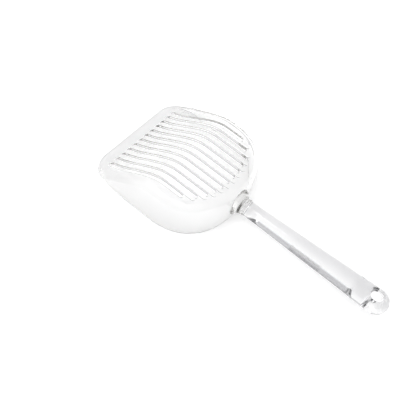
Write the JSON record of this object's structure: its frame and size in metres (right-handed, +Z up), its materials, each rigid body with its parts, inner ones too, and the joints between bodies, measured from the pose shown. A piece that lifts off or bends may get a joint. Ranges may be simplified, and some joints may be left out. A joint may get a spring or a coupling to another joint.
{
  "type": "ice scoop",
  "caption": "Clear plastic ice scoop with a slotted bowl, flat lip, rounded back and a handle flattened underneath, with a hanging hole in its end; stored rim down.",
  "frame": {"origin": "centre of the bounding box's underside: the rim plane, on which the scoop lies bowl down, halfway between the lip and the end of the handle", "axes": "+X from the bowl's lip to the end of the handle, +Y across the bowl, +Z up from the rim plane to the slotted floor"},
  "size_m": [0.2688, 0.121, 0.0331],
  "materials": {
    "bowl": "clear, polished moulded polycarbonate",
    "handle": "clear, polished moulded polycarbonate, with a faint cool cast through its thickness",
    "end_cap": "clear, polished moulded polycarbonate"
  },
  "bodies": {
    "root": {"bowl": "bowl", "handle_tube": "handle", "end_cap": "end_cap"}
  },
  "joints": []
}
